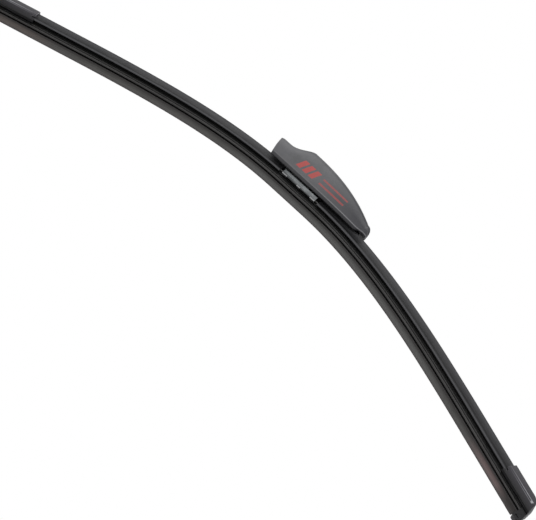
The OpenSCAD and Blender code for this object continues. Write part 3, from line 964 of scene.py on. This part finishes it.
def cover_finish(groups):
    """Grey cover that darkens towards its tail, with painted shade under its ridge, a painted highlight
    along the ridge, and bars on its near side.
    """
    material, tree, shader, colour, place = moulded_finish(
        "cover grey", groups, srgb(77, 77, 79), srgb(92, 92, 95),
        roughness=0.5, specular=0.25, sheen_and_wear=0.5, dust=0.08)
    x = split(tree, place)[0]
    over = attribute(tree, "over_ridge")["Fac"]
    colour = tinted(tree, colour, srgb(47, 47, 51), ranged(tree, x, 5 * MM, 50 * MM), 0.9)
    # Painted shade on the band under the ridge
    painted_shade_under_ridge = ranged(tree, over, -0.1 * MM, -0.6 * MM)
    colour = tinted(tree, colour, srgb(46, 46, 48), painted_shade_under_ridge, 0.75)
    # Painted highlight along the ridge, stronger towards the tail
    painted_light_line = times(tree, near(tree, over, 0.0, gone=0.55, full=0.15),
                 ranged(tree, x, 0.0, 46 * MM, 0.25, 1.0))
    colour = tinted(tree, colour, srgb(150, 149, 152), painted_light_line, 0.6)
    colour = mixed(tree, printed_bars(tree, groups, place), colour, srgb(172, 70, 66))
    wire(tree, colour, shader.inputs["Base Color"])
    return material


def cap_finish(groups):
    """Dark cap with painted highlights on its ridge edges, and painted shade that darkens its side walls
    towards the floor.
    """
    material, tree, shader, colour, _ = moulded_finish(
        "cap plastic", groups, srgb(42, 41, 45), srgb(54, 52, 57),
        roughness=0.45, specular=0.16, sheen_and_wear=0.9, dust=0.03)
    outward, _, height = split(tree, attribute(tree, "cap_place")["Vector"])
    # Painted shade: the side walls darker towards the floor
    colour = tinted(tree, colour, srgb(10, 10, 11), ranged(tree, height, 2.6 * MM, -2.4 * MM), 0.9)
    reach = times(tree, ranged(tree, outward, -30 * MM, -8 * MM, 0.15, 1.0),
                  ranged(tree, outward, 1.5 * MM, 0.5 * MM))
    for edge, strength in CAP_HIGHLIGHT_EDGES:
        painted_edge_highlight = times(tree, near(tree, height, edge, gone=0.5, full=0.1), reach)
        colour = tinted(tree, colour, srgb(165, 165, 170), painted_edge_highlight, strength)
    # The flat's outer end gets the brightest painted highlight, a painted glint
    painted_glint = times(tree, near(tree, outward, 0.0, gone=1.6, full=0.2),
                     near(tree, height, CAP_FLAT, gone=1.5, full=0.3))
    colour = tinted(tree, colour, srgb(190, 190, 193), painted_glint, 0.8)
    wire(tree, colour, shader.inputs["Base Color"])
    return material


# Camera, lamps, world and floor

def view_axes():
    """Right, up and back directions of the photograph's camera."""
    a, e, r = (math.radians(v) for v in (AZIMUTH, ELEVATION, ROLL))
    back = Vector((math.sin(a) * math.cos(e), -math.cos(a) * math.cos(e), math.sin(e)))
    right = Vector((math.cos(a), math.sin(a), 0.0))
    up = back.cross(right)
    return (right * math.cos(r) + up * math.sin(r), up * math.cos(r) - right * math.sin(r), back)


def set_camera():
    right, up, back = view_axes()
    data = bpy.data.cameras.new("camera")
    data.sensor_width = SENSOR
    data.lens = LENS
    data.clip_start = CLIP_NEAR
    data.clip_end = CLIP_FAR
    camera = added("camera", data)
    turn = Matrix((right, up, back)).transposed().to_4x4()
    camera.matrix_world = Matrix.Translation(AIM + back * CAMERA_FAR) @ turn
    bpy.context.scene.camera = camera


def set_lamp(name, side, lift, depth, far, size, watts):
    """A square soft lamp placed by the photograph's right, up and back directions."""
    right, up, back = view_axes()
    direction = (right * side + up * lift + back * depth).normalized()
    data = bpy.data.lights.new(name, "AREA")
    data.shape = "SQUARE"
    data.size = size
    data.energy = watts
    lamp = added(name, data)
    lamp.location = AIM + direction * far
    lamp.rotation_mode = "QUATERNION"
    lamp.rotation_quaternion = direction.to_track_quat("Z", "Y")


def background_rays(tree):
    """1 where the camera, gloss or glass looks at the background, and 0 where it lights something."""
    rays = tree.nodes.new("ShaderNodeLightPath").outputs
    seen = maths(tree, "MAXIMUM", rays["Is Camera Ray"], rays["Is Glossy Ray"])
    return maths(tree, "MAXIMUM", seen, rays["Is Transmission Ray"])


def mixed_shaders(tree, amount, first, second):
    node = tree.nodes.new("ShaderNodeMixShader")
    for socket, term in zip(node.inputs, (amount, first, second)):
        wire(tree, term, socket)
    return node.outputs[0]


def white_background(tree, strength):
    node = tree.nodes.new("ShaderNodeBackground")
    node.inputs["Color"].default_value = WHITE
    node.inputs["Strength"].default_value = strength
    return node.outputs[0]


def set_world():
    """White where it is seen, and a soft grey light otherwise."""
    world = bpy.data.worlds.new("studio")
    bpy.context.scene.world = world
    world.use_nodes = True
    tree = world.node_tree
    tree.nodes.clear()
    soft = white_background(tree, SOFT_LIGHT)
    white = white_background(tree, 1.0)
    out = tree.nodes.new("ShaderNodeOutputWorld")
    wire(tree, mixed_shaders(tree, background_rays(tree), soft, white), out.inputs["Surface"])


def set_floor():
    """A floor that is part white where it is seen, which makes it pale and keeps shadows on it."""
    mesh = bpy.data.meshes.new("floor")
    r = FLOOR_REACH
    mesh.from_pydata([(x, y, FLOOR_Z) for x, y in ((-r, -r), (r, -r), (r, r), (-r, r))], [], [(0, 1, 2, 3)])
    floor = added("floor", mesh)
    material, tree, shader = new_material("floor white", roughness=0.9, specular=0.1)
    shader.inputs["Base Color"].default_value = (FLOOR_TONE, FLOOR_TONE, FLOOR_TONE, 1.0)
    white = tree.nodes.new("ShaderNodeEmission").outputs[0]
    seen = times(tree, background_rays(tree), FLOOR_WHITE)
    shown = mixed_shaders(tree, seen, shader.outputs[0], white)
    wire(tree, shown, tree.nodes["Material Output"].inputs["Surface"])
    mesh.materials.append(material)


# Assembly

def dress(piece, finish, body, node):
    """Gives a piece its material, hides the CAD node it stands in for, and attaches it to the body it rides
    on.
    """
    piece.data.materials.clear()
    piece.data.materials.append(finish)
    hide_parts(node)
    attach(piece, body)


def build_strips(groups):
    wiping = extruded_finish(
        "wiping rubber", groups, srgb(62, 62, 60), srgb(82, 80, 79),
        roughness=0.55, specular=0.25, dust=0.2, painted_light_bands=RUBBER_PAINTED_LIGHT_BANDS, stretches=RUBBER_STRETCHES)
    spoiler = extruded_finish(
        "spoiler rubber", groups, srgb(62, 62, 64), srgb(75, 75, 77),
        roughness=0.5, specular=0.07, dust=0.05, painted_light_bands=SPOILER_PAINTED_LIGHT_BANDS)
    coated = extruded_finish(
        "rail coating", groups, srgb(24, 24, 24), srgb(36, 36, 36),
        roughness=0.45, specular=0.4, dust=0.0)
    rubber_shape = softened(rubber_outline(), RUBBER_CORNER)
    front_shape = softened(rail_outline(-1), RAIL_CORNER)
    back_shape = softened(rail_outline(1), RAIL_CORNER)
    spoiler_shape = softened(spoiler_outline(), SPOILER_CORNER)
    strips = [
        ("wiper_rubber", rubber_shape, RUBBER_RUN, wiping, "wiping_rubber"),
        ("rail_front", front_shape, RAIL_RUN, coated, "rail_steel"),
        ("rail_back", back_shape, RAIL_RUN, coated, "rail_steel"),
        ("spoiler_left", spoiler_shape, SPOILER_LEFT_RUN, spoiler, "spoiler_rubber"),
        ("spoiler_right", spoiler_shape, SPOILER_RIGHT_RUN, spoiler, "spoiler_rubber")]
    tree = strip_tree()
    path = helper_curve("blade path", blade_points(), False)
    for node, outline, run, finish, slot in strips:
        dress(strip(node + "_smooth", tree, path, outline, run, finish), finish, "blade", node)
    bpy.data.objects.remove(path)


def mark_ridge(piece):
    """Stores how far each point of the cover lies over its side ridge."""
    store = piece.data.attributes.new("over_ridge", "FLOAT", "POINT")
    for vertex in piece.data.vertices:
        height = vertex.co.z / MM + PIN_RISE
        store.data[vertex.index].value = (height - ridge_at(vertex.co.x / MM)) * MM


def build_cover(groups):
    piece = bevelled(cover_shell("cover holder"), "cover_smooth", COVER_ROUND, COVER_ROUND_OVER,
                     COVER_CRISP_OVER)
    mark_ridge(piece)
    dress(piece, cover_finish(groups), "connector", "cover")


def mark_cap(piece, half, side):
    """Stores where each point of a cap lies: outwards from the rubber's end, across, and w."""
    end_x, end_z = half_line(half)[-1]
    angle = turned(half, half)
    store = piece.data.attributes.new("cap_place", "FLOAT_VECTOR", "POINT")
    for vertex in piece.data.vertices:
        x, y, z = (c / MM for c in vertex.co)
        dx, dz = x * side - end_x, z - end_z
        outward = dx * math.cos(angle) - dz * math.sin(angle)
        height = dx * math.sin(angle) + dz * math.cos(angle)
        store.data[vertex.index].vector = (outward * MM, y * MM, height * MM)


def build_caps(groups):
    cap = cap_finish(groups)
    for node, half, side in (("end_cap_left", HALF_LEFT, -1), ("end_cap_right", HALF_RIGHT, 1)):
        piece = from_cad(node, CAP_ROUND)
        mark_cap(piece, half, side)
        dress(piece, cap, "blade", node)


def build_middle(groups):
    """The bracket, the rivet and the hook adapter."""
    adapter = moulded_finish(
        "adapter plastic", groups, srgb(22, 22, 23), srgb(32, 32, 33),
        roughness=0.45, specular=0.35, sheen_and_wear=0.2, dust=0.0)[0]
    plated = plated_finish("zinc plate", groups, srgb(66, 68, 69), srgb(86, 88, 89), 0.4, folded=True)
    steel = plated_finish("rivet steel", groups, srgb(135, 136, 136), srgb(165, 166, 166), 0.3)
    for node, width, finish, body, slot in (
            ("bracket", BRACKET_ROUND, plated, "blade", "bracket_steel"),
            ("rivet", RIVET_ROUND, steel, "blade", "rivet_steel"),
            ("hook_adapter", ADAPTER_ROUND, adapter, "connector", "adapter_plastic")):
        dress(from_cad(node, width), finish, body, node)


def main():
    bpy.context.scene.view_settings.view_transform = "Standard"
    groups = shared_groups()
    build_strips(groups)
    build_cover(groups)
    build_caps(groups)
    build_middle(groups)
    set_world()
    set_floor()
    for lamp in LAMPS:
        set_lamp(*lamp)
    set_camera()


main()
